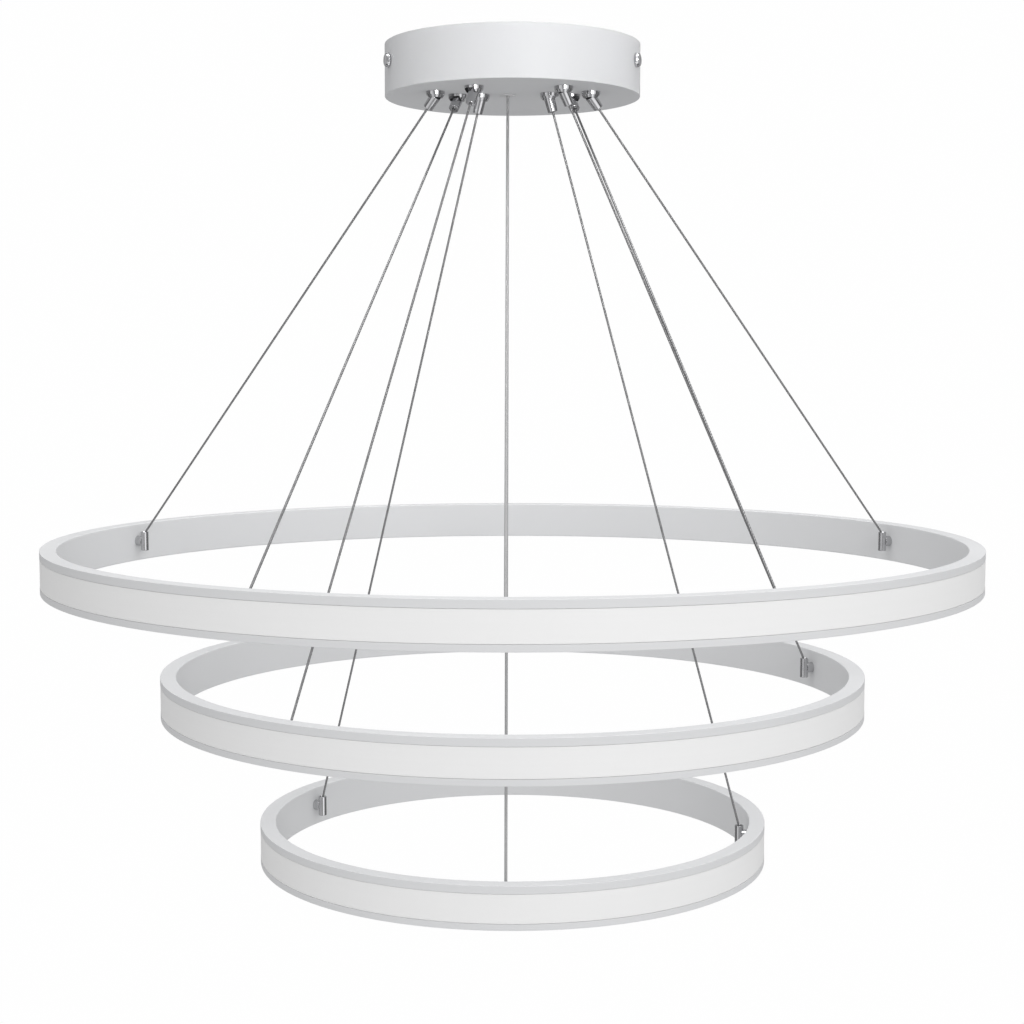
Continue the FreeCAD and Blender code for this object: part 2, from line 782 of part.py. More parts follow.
def lead_gland(ring):
    """The gland that takes a lead through the wall: mouth above, hollow spigot through the web."""
    _, azimuth = LEADS[ring]
    top = ring_top(ring) - size["fitting_below_top"]
    axis, height = fitting_axis(ring), boss_height(ring)
    foot_height = top - size["gland_length"]
    post = cylinder(size["gland_radius"], size["gland_length"], at_azimuth(axis, azimuth, foot_height))
    foot = boss(ring, azimuth, size["boss_radius"], size["fitting_stand_off"] - size["gland_radius"] / 2)
    outwards = along(at_azimuth(1.0, azimuth, 0.0))
    spigot_length = size["web_thick"] * 2 + size["gland_nut_height"]
    spigot_start = at_azimuth(ring_inner(ring) - size["web_thick"], azimuth, height)
    spigot = cylinder(size["spigot_radius"], spigot_length, spigot_start, outwards)
    floor = at_azimuth(axis, azimuth, top - GLAND_MOUTH_DEPTH)
    mouth = cylinder(size["gland_mouth_radius"], GLAND_MOUTH_DEPTH, floor)
    drop = top - height
    well = cylinder(LEAD_BORE, drop, at_azimuth(axis, azimuth, height))
    passage_length = size["fitting_stand_off"] + spigot_length
    passage = cylinder(LEAD_BORE, passage_length, at_azimuth(axis, azimuth, height), outwards)
    keep(f"{ring}_ring_lead_gland", cut(fused(post, foot, spigot), [mouth, well, passage]))
    seat = at_azimuth(ring_inner(ring) + size["web_thick"], azimuth, height)
    thread = size["spigot_radius"] + size["thread_clearance"]
    rim = cylinder(size["gland_nut_radius"], size["gland_nut_height"], seat, outwards)
    nut = cut(rim, [cylinder(thread, size["gland_nut_height"], seat, outwards)])
    keep(f"{ring}_ring_gland_nut", nut)


def ring_assembly(ring):
    channel(ring)
    diffuser(ring)
    led_boards(ring)
    fittings = wires_of(ring)
    keep(f"{ring}_ring_wire_fittings", group([wire_fitting(ring, azimuth) for _, azimuth in fittings]))
    keep(f"{ring}_ring_fitting_screws", group([fitting_screw(ring, azimuth) for _, azimuth in fittings]))
    lead_gland(ring)
    supply_lead(ring)


# ---------- the whole chandelier ----------


def check_all():
    """Stops if any object failed or any sub-part has no sound solid."""
    for thing in doc.Objects:
        if "Invalid" in thing.State or "Error" in thing.State:
            raise RuntimeError(f"{thing.Name} {thing.Label} failed: {thing.State}")
    for label, thing in parts.items():
        shape = thing.Shape
        if shape.isNull() or not shape.isValid() or not shape.Solids:
            raise RuntimeError(f"{label} has no sound solid")


def write_all():
    os.makedirs("parts", exist_ok=True)
    for label, thing in parts.items():
        thing.Shape.exportStep(f"parts/{label}.step")


ceiling_cover()
ceiling_plate()
side_screws()
mains_grommet()
led_driver()
plate_screws()
terminal_block()
grippers()
lead_outlet()
lead_clamp()
for ring_name in ("large", "middle", "small"):
    ring_assembly(ring_name)
doc.recompute()
check_all()
write_all()
print(len(parts), "sub-parts,", sum(len(thing.Shape.Solids) for thing in parts.values()), "solids")
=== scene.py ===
import math

import bmesh
import bpy
import numpy as np
from bpy.props import FloatProperty, FloatVectorProperty, IntProperty, PointerProperty
from bpy.types import Operator, Panel, PropertyGroup
from mathutils import Matrix, Vector


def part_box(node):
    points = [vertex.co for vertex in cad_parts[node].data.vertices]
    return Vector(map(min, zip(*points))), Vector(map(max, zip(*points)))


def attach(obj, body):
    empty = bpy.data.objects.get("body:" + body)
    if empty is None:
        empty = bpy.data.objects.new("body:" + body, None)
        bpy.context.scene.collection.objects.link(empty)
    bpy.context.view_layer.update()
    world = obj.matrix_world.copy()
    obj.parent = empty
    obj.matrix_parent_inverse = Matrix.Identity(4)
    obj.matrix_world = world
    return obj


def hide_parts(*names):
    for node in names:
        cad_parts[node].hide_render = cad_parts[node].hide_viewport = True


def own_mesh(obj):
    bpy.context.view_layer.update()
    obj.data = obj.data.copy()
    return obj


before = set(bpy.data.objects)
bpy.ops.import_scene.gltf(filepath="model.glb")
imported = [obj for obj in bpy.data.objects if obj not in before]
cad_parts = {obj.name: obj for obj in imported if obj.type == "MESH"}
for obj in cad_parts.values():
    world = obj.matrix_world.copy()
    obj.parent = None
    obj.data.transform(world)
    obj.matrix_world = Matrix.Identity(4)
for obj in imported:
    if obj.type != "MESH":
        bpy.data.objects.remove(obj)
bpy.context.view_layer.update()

bl_info = {
    "name": "Ring chandelier",
    "version": (1, 0, 0),
    "blender": (4, 5, 0),
    "location": "View3D > Sidebar > Chandelier",
    "description": "Builds a three-ring LED chandelier with its finishes, lights and camera",
    "category": "Object",
}

MM = 0.001
RINGS = ("large", "middle", "small")

# Where each steel wire runs: the swivel of its gripper, 6 diameters past the barrel's tip,
# 6 diameters before the fitting, and its seat in the fitting.
WIRE_ROUTES = {
    "large_rear_left": [
        (-0.0645, -0.038, -0.0484), (-0.0777, -0.0297, -0.066),
        (-0.3442, 0.1376, -0.4228), (-0.3509, 0.1418, -0.4318),
    ],
    "large_front_left": [
        (-0.0465, -0.02, -0.0484), (-0.0528, -0.0343, -0.066),
        (-0.1803, -0.3238, -0.4228), (-0.1835, -0.331, -0.4318),
    ],
    "large_front_right": [
        (0.0495, -0.02, -0.0484), (0.0557, -0.0343, -0.066),
        (0.1804, -0.3237, -0.4228), (0.1835, -0.331, -0.4318),
    ],
    "large_rear_right": [
        (0.0655, -0.037, -0.0484), (0.0787, -0.0289, -0.0661),
        (0.3454, 0.1346, -0.4228), (0.3522, 0.1387, -0.4318),
    ],
    "middle_front_left": [
        (-0.0315, -0.068, -0.0484), (-0.0375, -0.0749, -0.07),
        (-0.165, -0.2235, -0.5327), (-0.168, -0.2271, -0.5438),
    ],
    "middle_rear_right": [
        (0.042, -0.066, -0.0484), (0.0515, -0.0598, -0.069),
        (0.2653, 0.0794, -0.5333), (0.2702, 0.0826, -0.5438),
    ],
    "small_rear_left": [
        (-0.027, -0.02, -0.0484), (-0.0324, -0.016, -0.0709),
        (-0.175, 0.0885, -0.6643), (-0.1778, 0.0906, -0.6758),
    ],
    "small_rear_right": [
        (0.031, -0.028, -0.0484), (0.0371, -0.0275, -0.0711),
        (0.1959, -0.0142, -0.6642), (0.199, -0.0139, -0.6758),
    ],
}

# Where each supply lead runs: the clamp, the bush, the bend under it, and its ring's gland.
LEAD_ROUTES = {
    "large": [
        (-0.004, -0.0212, -0.0338), (-0.004, -0.0212, -0.041),
        (-0.004, -0.0212, -0.051), (-0.004, -0.028, -0.0583),
        (-0.0046, -0.3686, -0.4213), (-0.0046, -0.3785, -0.4318),
    ],
    "small": [
        (-0.004, -0.018, -0.0338), (-0.004, -0.018, -0.041),
        (-0.004, -0.018, -0.051), (-0.004, -0.0208, -0.0606),
        (-0.0052, -0.1954, -0.662), (-0.0052, -0.1994, -0.6758),
    ],
    "middle": [
        (-0.004, -0.0148, -0.0338), (-0.004, -0.0148, -0.041),
        (-0.004, -0.0148, -0.051), (-0.0041, -0.0096, -0.0596),
        (-0.0073, 0.275, -0.5315), (-0.0074, 0.2824, -0.5438),
    ],
}

SIDE_SCREW_AZIMUTHS = (-70.5, 70.5, 180.0)

# Flat faces round each turned piece, and round each ridge of a side screw.
COVER_SIDES, COLLAR_SIDES, BUSH_SIDES, POST_SIDES, BORE_SIDES = 192, 96, 72, 64, 32
KNURL_SIDES = 8

WHITE = (1.0, 1.0, 1.0, 1.0)
SEEN_WHITE = 0.995

# The camera that the photo's ellipses ask for; it looks down by its tilt, in degrees.
CAMERA_PLACE = (-0.00041, -1.5435, -0.2705)
CAMERA_TILT = 4.778
CAMERA_LENS = 62.38

# The panels round the room that the chrome mirrors: share of a full turn from the back, brightness.
PANELS = (
    (0.00, 0.22), (0.07, 0.22), (0.09, 0.55), (0.13, 0.55), (0.15, 0.13), (0.21, 0.13),
    (0.23, 0.28), (0.27, 0.28), (0.29, 0.11), (0.31, 0.11), (0.345, 0.95), (0.42, 0.85),
    (0.45, 0.40), (0.52, 0.40), (0.56, 1.45), (0.64, 1.30), (0.68, 0.11), (0.72, 0.11),
    (0.74, 0.28), (0.78, 0.28), (0.80, 0.13), (0.85, 0.13), (0.87, 0.55), (0.91, 0.55),
    (0.93, 0.22), (1.00, 0.22),
)


# ---------- sizes and colours that a user would change ----------


def length(name, description, default):
    return FloatProperty(
        name=name, description=description, default=default, unit="LENGTH", precision=5
    )


def amount(name, description, default, unit="NONE"):
    return FloatProperty(name=name, description=description, default=default, unit=unit)


def colour(name, description, default):
    return FloatVectorProperty(
        name=name, description=description, default=default, subtype="COLOR", min=0.0, max=1.0
    )


class ChandelierCoverSizes(PropertyGroup):
    wall: length("Wall", "Sheet thickness of the ceiling cover", 1.2 * MM)
    bottom_round: length("Bottom rounding", "Rounding of the cover's lower edge", 0.7 * MM)
    rim_round: length("Rim rounding", "Rounding of the cover's upper rim", 0.3 * MM)
    screw_drop: length("Screw drop", "Height of the side screws below the ceiling", 18.0 * MM)
    screw_radius: length("Screw head radius", "Radius of a side screw's knurled head", 6.0 * MM)
    screw_head: length("Screw head length", "How far a side screw's head stands out", 4.0 * MM)
    knurls: IntProperty(
        name="Knurls", description="Ridges round a side screw's head", default=36, min=8
    )


class ChandelierGripperSizes(PropertyGroup):
    collar_radius: length("Collar radius", "Outer radius of a gripper's collar", 8.0 * MM)
    collar_height: length("Collar height", "How far a collar stands below the cover", 5.4 * MM)
    collar_taper: length("Collar taper", "How far a collar draws in at its lower edge", 2.0 * MM)
    collar_draft: length("Collar draft", "How far its side draws in above the taper", 0.35 * MM)
    barrel_head: length("Barrel head radius", "Radius of a barrel inside its collar", 4.7 * MM)
    barrel_tip: length("Barrel tip radius", "Radius of a barrel where its wire comes out", 4.2 * MM)
    barrel_length: length("Barrel length", "Length of a barrel below its swivel", 11.5 * MM)
    barrel_round: length("Barrel rounding", "Rounding of a barrel's tip", 0.5 * MM)


class ChandelierWireSizes(PropertyGroup):
    wire_diameter: length("Wire diameter", "Diameter of a steel wire", 2.0 * MM)
    wire_lay: length("Lay", "Length in which a strand goes once round the wire", 16.0 * MM)
    lead_diameter: length("Lead diameter", "Diameter of a supply lead", 2.4 * MM)


class ChandelierRingSizes(PropertyGroup):
    depth: length("Depth", "Depth of a ring, from its inner wall to its lips", 13.5 * MM)
    web: length("Web", "Thickness of a ring's inner wall", 2.0 * MM)
    flange: length("Flange", "Thickness of a ring's top and bottom", 1.8 * MM)
    lip: length("Lip", "Thickness of the lips in front of the diffuser", 0.9 * MM)
    upper_lip: length("Upper lip", "Height of the lip above the diffuser", 6.3 * MM)
    lower_lip: length("Lower lip", "Height of the lip below the diffuser", 5.2 * MM)
    edge_round: length("Outer rounding", "Rounding of a ring's edges at its lips", 0.45 * MM)
    inner_round: length("Inner rounding", "Rounding of a ring's edges at its inner wall", 1.1 * MM)
    diffuser: length("Diffuser", "Thickness of the opal band", 1.6 * MM)
    sides: IntProperty(name="Sides", description="Flat faces round a ring", default=288, min=48)


class ChandelierFinishes(PropertyGroup):
    paint: colour("Cover paint", "Powder coat of the ceiling cover", (0.575, 0.58, 0.592))
    ring_paint: colour("Ring paint", "Powder coat of the rings", (0.685, 0.69, 0.70))
    opal: colour("Opal", "Diffuser bands", (0.84, 0.84, 0.84))
    chrome: colour("Chrome", "Collars, barrels, fittings and side screws", (0.56, 0.56, 0.57))
    wire: colour("Steel wire", "Strands of the wires", (0.29, 0.29, 0.295))
    lead: colour("Lead sheath", "Sheath of the supply leads", (0.36, 0.36, 0.365))
    bush: colour("Bush", "Bush of the supply leads", (0.56, 0.56, 0.57))


class ChandelierStage(PropertyGroup):
    floor_drop: length("Floor", "Depth of the floor below the ceiling", 2.4)
    sky: amount("Sky", "Brightness of the room above the horizon", 0.62)
    ground: amount("Ground", "Brightness of the room below the horizon", 0.73)
    key: amount("Key light", "Power of the large soft light", 33.0, "POWER")
    near: amount("Near light", "Power of the light on the cover", 0.18, "POWER")
    top: amount("Top light", "Power of the light overhead", 31.0, "POWER")


# ---------- outlines and turned shapes ----------


def rounded(corners, steps=4):
    """The points and outward normals of an outline; its corners (across, up, rounding) go
    anticlockwise."""
    side_share = 0.45
    points, normals = [], []
    count = len(corners)
    for i, (x, y, rounding) in enumerate(corners):
        corner = Vector((x, y))
        before = Vector(corners[i - 1][:2])
        after = Vector(corners[(i + 1) % count][:2])
        arriving, leaving = (corner - before).normalized(), (after - corner).normalized()
        turn = math.atan2(arriving.cross(leaving), arriving.dot(leaving))
        room = side_share * min((corner - before).length, (after - corner).length)
        reach = min(rounding * math.tan(abs(turn) / 2), room)
        radius = reach / math.tan(abs(turn) / 2)
        facing = Vector((arriving.y, -arriving.x))
        side = 1.0 if turn > 0 else -1.0
        centre = corner - arriving * reach - facing * radius * side
        for step in range(steps + 1):
            angle = turn * step / steps
            normal = Matrix.Rotation(angle, 2) @ facing
            points.append(centre + normal * radius * side)
            normals.append(normal)
    return points, normals


def turned(corners, sides, steps=4, ripple=None):
    """An outline turned round the Z axis, as points, faces and normals."""
    outline, facings = rounded(corners, steps)
    on_axis = [point.x < 1e-6 for point in outline]
    points, normals, faces = [], [], []
    for i in range(sides):
        angle = 2 * math.pi * i / sides
        c, s = math.cos(angle), math.sin(angle)
        for (r, z), (nr, nz) in zip(outline, facings):
            r = max(r, 0.0)
            if ripple:
                r = ripple(r, z, angle)
            points.append((r * c, r * s, z))
            normals.append((nr * c, nr * s, nz))
    rows = len(outline)
    for i in range(sides):
        a, b = i * rows, (i + 1) % sides * rows
        for j in range(rows):
            k = (j + 1) % rows
            if on_axis[j] and on_axis[k]:
                continue
            if on_axis[j]:
                faces.append((a + j, b + k, a + k))
            elif on_axis[k]:
                faces.append((a + j, b + j, a + k))
            else:
                faces.append((a + j, b + j, b + k, a + k))
    return np.array(points), faces, np.array(normals)


def moved(shape, matrix):
    """A shape put in place by a matrix."""
    points, faces, normals = shape
    turn = np.array(matrix.to_3x3())
    return points @ turn.T + np.array(matrix.translation), faces, normals @ turn.T


def joined(shapes):
    """Several shapes as one."""
    points, faces, normals, start = [], [], [], 0
    for shape_points, shape_faces, shape_normals in shapes:
        points.append(shape_points)
        normals.append(shape_normals)
        faces.extend(tuple(start + i for i in face) for face in shape_faces)
        start += len(shape_points)
    return np.concatenate(points), faces, np.concatenate(normals)


def mesh_of(name, shape):
    """A smooth mesh that keeps a shape's own normals."""
    points, faces, normals = shape
    mesh = bpy.data.meshes.new(name)
    mesh.from_pydata(points.tolist(), [], faces)
    mesh.shade_smooth()
    mesh.normals_split_custom_set_from_vertices(normals.tolist())
    return mesh


def facing_along(direction, position):
    """The matrix that puts a shape made along +Z at a position, along a direction."""
    turn = Vector((0, 0, 1)).rotation_difference(Vector(direction))
    return Matrix.Translation(Vector(position)) @ turn.to_matrix().to_4x4()


def at_azimuth(radius, azimuth, z):
    turn = math.radians(azimuth)
    return Vector((radius * math.sin(turn), -radius * math.cos(turn), z))


def placed(name, data):
    """An object that holds the data, in the scene."""
    thing = bpy.data.objects.new(name, data)
    bpy.context.scene.collection.objects.link(thing)
    return thing


def show(name, mesh, material, body, nodes, place=None):
    """A piece of the chandelier, riding on its body in place of its nodes."""
    piece = placed(name, mesh)
    mesh.materials.clear()
    mesh.materials.append(material)
    if place is not None:
        piece.matrix_world = place
    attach(piece, body)
    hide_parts(*nodes)
    return piece


def finished_mesh(thing):
    """The mesh that an object's curve or modifiers give."""
    bpy.context.view_layer.update()
    graph = bpy.context.evaluated_depsgraph_get()
    return bpy.data.meshes.new_from_object(thing.evaluated_get(graph))


def cut_away(name, shape, tools):
    """A mesh of a shape less its tools, with crisp cut edges and even faces."""
    crisp_angle, fewest_faces = math.radians(32), 20
    blank = placed(name, mesh_of(name, shape))
    cutters = [placed(f"{name}_tool", tool) for tool in tools]
    for cutter in cutters:
        modifier = blank.modifiers.new("cut", "BOOLEAN")
        modifier.operation, modifier.solver, modifier.object = "DIFFERENCE", "EXACT", cutter
    cut = finished_mesh(blank)
    blank.modifiers.clear()
    blank.data = cut
    cut.shade_smooth()
    cut.set_sharp_from_angle(angle=crisp_angle)
    even = blank.modifiers.new("even", "WEIGHTED_NORMAL")
    even.keep_sharp = True
    mesh = finished_mesh(blank)
    for thing in [blank, *cutters]:
        bpy.data.objects.remove(thing)
    if len(mesh.polygons) < fewest_faces:
        raise RuntimeError(f"{name} came out of its cut with {len(mesh.polygons)} faces")
    mesh.name = name
    return mesh


def block_tool(name, low, high):
    """A box-shaped cutter between two corners."""
    mesh = bpy.data.meshes.new(name)
    shape = bmesh.new()
    bmesh.ops.create_cube(shape, size=1.0)
    for vertex in shape.verts:
        vertex.co = [low[i] + (vertex.co[i] + 0.5) * (high[i] - low[i]) for i in range(3)]
    shape.to_mesh(mesh)
    shape.free()
    return mesh


# ---------- wires and leads ----------


def route_line(name, route):
    """The points of the smooth line that a route's corners give."""
    curve = bpy.data.curves.new(name, "CURVE")
    curve.dimensions = "3D"
    curve.resolution_u = 24
    spline = curve.splines.new("NURBS")
    spline.points.add(len(route) - 1)
    for control, point in zip(spline.points, route):
        control.co = (*point, 1.0)
    spline.order_u = 3
    spline.use_endpoint_u = True
    holder = placed(name, curve)
    mesh = finished_mesh(holder)
    line = np.array([vertex.co for vertex in mesh.vertices], float)
    bpy.data.objects.remove(holder)
    bpy.data.curves.remove(curve)
    bpy.data.meshes.remove(mesh)
    return line


def evenly(line, step):
    """The same line with its points about a step apart."""
    lengths = np.linalg.norm(np.diff(line, axis=0), axis=1)
    line = line[np.concatenate([[True], lengths > 1e-7])]
    travelled = np.concatenate([[0.0], np.cumsum(np.linalg.norm(np.diff(line, axis=0), axis=1))])
    stops = np.linspace(0.0, travelled[-1], max(2, round(travelled[-1] / step)) + 1)
    return np.stack([np.interp(stops, travelled, line[:, i]) for i in range(3)], axis=1), stops


def swept(line, step, section, twist):
    """A section of (radius, angle) pairs drawn along a line, turning by twist radians a metre."""
    line, stops = evenly(line, step)
    tangents = np.gradient(line, axis=0)
    tangents /= np.linalg.norm(tangents, axis=1)[:, None]
    across = np.cross(tangents[0], (0.0, 1.0, 0.0))
    points = []
    for centre, tangent, stop in zip(line, tangents, stops):
        across = across - tangent * (across @ tangent)
        across /= np.linalg.norm(across)
        upward = np.cross(tangent, across)
        for radius, angle in section:
            turn = angle + twist * stop
            points.append(centre + (across * math.cos(turn) + upward * math.sin(turn)) * radius)
    sides, rows = len(section), len(line)
    faces = []
    for i in range(0, (rows - 1) * sides, sides):
        for j in range(sides):
            k = (j + 1) % sides
            faces.append((i + j, i + k, i + sides + k, i + sides + j))
    faces.append(tuple(reversed(range(sides))))
    faces.append(tuple((rows - 1) * sides + j for j in range(sides)))
    return points, faces, line


def strand_section(radius, strands=6, samples=4):
    """The outline across a rope: the round backs of its strands, with grooves between them."""
    strand, groove = radius / 3, 0.8 * radius
    section = []
    for i in range(strands * samples):
        angle = 2 * math.pi * i / (strands * samples)
        offset = (angle + math.pi / strands) % (2 * math.pi / strands) - math.pi / strands
        hidden = max(0.0, strand**2 - (2 * strand * math.sin(offset)) ** 2)
        reach = 2 * strand * math.cos(offset) + math.sqrt(hidden)
        section.append((max(reach, groove), angle))
    return section


def round_section(radius, sides=16):
    return [(radius, 2 * math.pi * i / sides) for i in range(sides)]


def drawn_cord(name, route, section, step, twist):
    points, faces, line = swept(route_line(name, route), step, section, twist)
    mesh = bpy.data.meshes.new(name)
    mesh.from_pydata([tuple(p) for p in points], [], faces)
    mesh.shade_smooth()
    return mesh, line


# ---------- effects that several finishes share ----------


def place_node(tree, kind, inputs=None, **settings):
    """A node with its settings; an input given as a socket is linked, and as a value is set."""
    node = tree.nodes.new(kind)
    for name, value in settings.items():
        setattr(node, name, value)
    for name, value in (inputs or {}).items():
        socket = node.inputs[name]
        if isinstance(value, bpy.types.NodeSocket):
            tree.links.new(value, socket)
        else:
            socket.default_value = value
    return node


def noise(tree, where, scale, detail, distortion=0.0):
    inputs = {"Vector": where, "Scale": scale, "Detail": detail, "Distortion": distortion}
    return place_node(tree, "ShaderNodeTexNoise", inputs).outputs["Fac"]


def ranged(tree, value, source=(0.0, 1.0), target=(0.0, 1.0), **settings):
    """A value carried over from one range of numbers to another."""
    inputs = {"Value": value, "From Min": source[0], "From Max": source[1]}
    inputs.update({"To Min": target[0], "To Max": target[1]})
    return place_node(tree, "ShaderNodeMapRange", inputs, **settings).outputs["Result"]


def reckoned(tree, operation, *values):
    """The result of one sum."""
    node = place_node(tree, "ShaderNodeMath", dict(enumerate(values)), operation=operation)
    return node.outputs[0]


def powder_grain(tree, where, given):
    """The fine orange peel of a powder coat or moulding, and slow clouds in its shade."""
    clouds = noise(tree, where, given["Clouds"], 3.0)
    return {
        "Height": noise(tree, where, given["Grain"], 2.0),
        "Cloud": ranged(tree, clouds, (0.3, 0.7)),
    }


def turning_lines(tree, where, given):
    """Fine lines left round a turned or extruded piece, by height and by distance from its axis."""
    x, y, z = place_node(tree, "ShaderNodeSeparateXYZ", {0: where}).outputs
    flat = place_node(tree, "ShaderNodeCombineXYZ", {"X": x, "Y": y}).outputs[0]
    radius = place_node(tree, "ShaderNodeVectorMath", {0: flat}, operation="LENGTH")
    across = reckoned(tree, "MULTIPLY", radius.outputs["Value"], given["Across"])
    lined = place_node(tree, "ShaderNodeCombineXYZ", {"X": across, "Y": z}).outputs[0]
    return {"Height": noise(tree, lined, given["Lines"], 1.0)}


def handling_marks(tree, where, given):
    """Soft patches where a polished piece has been touched."""
    patches = noise(tree, where, given["Patches"], 4.0, 0.6)
    return {"Mask": ranged(tree, patches, (0.42, 0.72))}


def zinc_spangle(tree, where, given):
    """The flakes of crystal in a zinc coat."""
    inputs = {"Vector": where, "Scale": given["Flakes"]}
    flakes = place_node(tree, "ShaderNodeTexVoronoi", inputs)
    parts = place_node(tree, "ShaderNodeSeparateColor", {0: flakes.outputs["Color"]})
    return {"Mask": parts.outputs["Red"]}


# Each shared effect: what builds it, its inputs with their defaults, and its outputs.
EFFECTS = {
    "powder_grain": (powder_grain, {"Grain": 900.0, "Clouds": 14.0}, ("Height", "Cloud")),
    "turning_lines": (turning_lines, {"Lines": 2500.0, "Across": 1.0}, ("Height",)),
    "handling_marks": (handling_marks, {"Patches": 90.0}, ("Mask",)),
    "zinc_spangle": (zinc_spangle, {"Flakes": 220.0}, ("Mask",)),
}


def new_effect(name):
    """The node group of a shared effect."""
    build, inputs, outputs = EFFECTS[name]
    group = bpy.data.node_groups.new(name, "ShaderNodeTree")
    kind = "NodeSocketFloat"
    for label, default in inputs.items():
        socket = group.interface.new_socket(label, in_out="INPUT", socket_type=kind)
        socket.default_value = default
    for label in outputs:
        group.interface.new_socket(label, in_out="OUTPUT", socket_type=kind)
    given, result = group.nodes.new("NodeGroupInput"), group.nodes.new("NodeGroupOutput")
    where = place_node(group, "ShaderNodeTexCoord").outputs["Object"]
    for label, value in build(group, where, given.outputs).items():
        group.links.new(value, result.inputs[label])
    return group


def use_effect(tree, name, **values):
    """A shared effect with its own values; its group is built the first time it is wanted."""
    group = bpy.data.node_groups.get(name) or new_effect(name)
    return place_node(tree, "ShaderNodeGroup", values, node_tree=group)


def blended(tree, mask, first, second):
    """A colour that goes from the first to the second with a mask."""
    inputs = {0: mask, 6: (*first, 1.0), 7: (*second, 1.0)}  # the mix node's colours are 6 and 7
    return place_node(tree, "ShaderNodeMix", inputs, data_type="RGBA").outputs[2]


def raised(tree, height, depth, strength):
    """The normal of a surface raised by a height, up to a depth in metres."""
    inputs = {"Strength": strength, "Distance": depth, "Height": height}
    return place_node(tree, "ShaderNodeBump", inputs).outputs["Normal"]


def shade(rgb, factor):
    return tuple(min(1.0, c * factor) for c in rgb)


def cleared(owner):
    """The node tree of a material or world, with nothing in it."""
    owner.use_nodes = True
    owner.node_tree.nodes.clear()
    return owner.node_tree


def varied(tree, mask, colours, rough_mask, rough, height, depth, strength):
    """What varies over a surface: its colour and roughness by masks, and its relief."""
    return {
        "Base Color": blended(tree, mask, *colours),
        "Roughness": ranged(tree, rough_mask, target=rough),
        "Normal": raised(tree, height, depth, strength),
    }


def new_finish(name, settings, links):
    """A material of one Principled shader; links makes what varies over the surface."""
    material = bpy.data.materials.new(name)
    tree = cleared(material)
    shader = place_node(tree, "ShaderNodeBsdfPrincipled", settings)
    for socket, value in links(tree).items():
        tree.links.new(value, shader.inputs[socket])
    place_node(tree, "ShaderNodeOutputMaterial", {"Surface": shader.outputs["BSDF"]})
    material.diffuse_color = (0.8, 0.8, 0.8, 1.0)
    return material


# ---------- finishes ----------


def picked(name):
    """A colour that the user has set."""
    return tuple(getattr(bpy.context.scene.chandelier_finishes, name))


def grained(name, colours, rough, grain, clouds, depth, strength, settings):
    """A matt finish: a fine grain raises it, and slow clouds change its colour and roughness."""

    def links(tree):
        height, cloud = use_effect(tree, "powder_grain", Grain=grain, Clouds=clouds).outputs
        return varied(tree, cloud, colours, cloud, rough, height, depth, strength)

    return new_finish(name, settings, links)


def polished(name, colours, rough, patches, lines, strength):
    """Bright metal on turned pieces: faint turning lines, and patches where it was touched."""

    def links(tree):
        touched = use_effect(tree, "handling_marks", Patches=patches).outputs["Mask"]
        turning = use_effect(tree, "turning_lines", Lines=lines, Across=0.0).outputs["Height"]
        return varied(tree, touched, colours, touched, rough, turning, 0.02 * MM, strength)

    return new_finish(name, {"Metallic": 1.0}, links)


def make_cover_paint(name):
    """Smooth white powder coat with a slight orange peel."""
    base = picked("paint")
    colours, matt = (shade(base, 0.985), base), {"IOR": 1.45, "Specular IOR Level": 0.2}
    return grained(name, colours, (0.44, 0.52), 520.0, 9.0, 0.04 * MM, 0.12, matt)


def make_ring_paint(name):
    """The rings' powder coat, with the faint lines of the extrusion under it."""
    base = picked("ring_paint")
    colours = (shade(base, 0.98), base)

    def links(tree):
        peel, cloud = use_effect(tree, "powder_grain", Grain=560.0, Clouds=7.0).outputs
        lines = use_effect(tree, "turning_lines", Lines=320.0).outputs["Height"]
        height = reckoned(tree, "MULTIPLY_ADD", lines, 0.6, peel)
        return varied(tree, cloud, colours, cloud, (0.40, 0.50), height, 0.04 * MM, 0.12)

    return new_finish(name, {"IOR": 1.45, "Specular IOR Level": 0.2}, links)


def make_opal(name):
    """Satin opal acrylic, drawn in one band, so its faint lines run round the ring."""
    base = picked("opal")
    colours = (shade(base, 0.985), base)

    def links(tree):
        skin, cloud = use_effect(tree, "powder_grain", Grain=700.0, Clouds=5.0).outputs
        lines = use_effect(tree, "turning_lines", Lines=260.0).outputs["Height"]
        height = reckoned(tree, "MULTIPLY_ADD", lines, 1.2, skin)
        return varied(tree, lines, colours, cloud, (0.46, 0.56), height, 0.03 * MM, 0.1)

    settings = {
        "IOR": 1.49,
        "Specular IOR Level": 0.2,
        "Subsurface Weight": 0.25,
        "Subsurface Radius": (1.0, 1.0, 1.0),
        "Subsurface Scale": 2.0 * MM,
    }
    return new_finish(name, settings, links)


def make_chrome(name):
    """Polished chrome on collars, barrels, fittings and side screws."""
    base = picked("chrome")
    return polished(name, (base, shade(base, 0.9)), (0.12, 0.22), 120.0, 1500.0, 0.12)


def make_zinc(name):
    """Bright zinc plate on small turned and pressed pieces."""
    colours = ((0.66, 0.67, 0.66), (0.56, 0.56, 0.52))
    return polished(name, colours, (0.24, 0.38), 180.0, 3000.0, 0.35)


def make_strands(name):
    """Stranded stainless wire, a little darker where the strands hold dirt."""
    base = picked("wire")
    colours = (base, shade(base, 0.78))

    def links(tree):
        dirt = use_effect(tree, "handling_marks", Patches=260.0).outputs["Mask"]
        grain = use_effect(tree, "powder_grain", Grain=5200.0, Clouds=60.0).outputs["Height"]
        return varied(tree, dirt, colours, dirt, (0.42, 0.58), grain, 0.03 * MM, 0.4)

    return new_finish(name, {"Metallic": 0.8}, links)


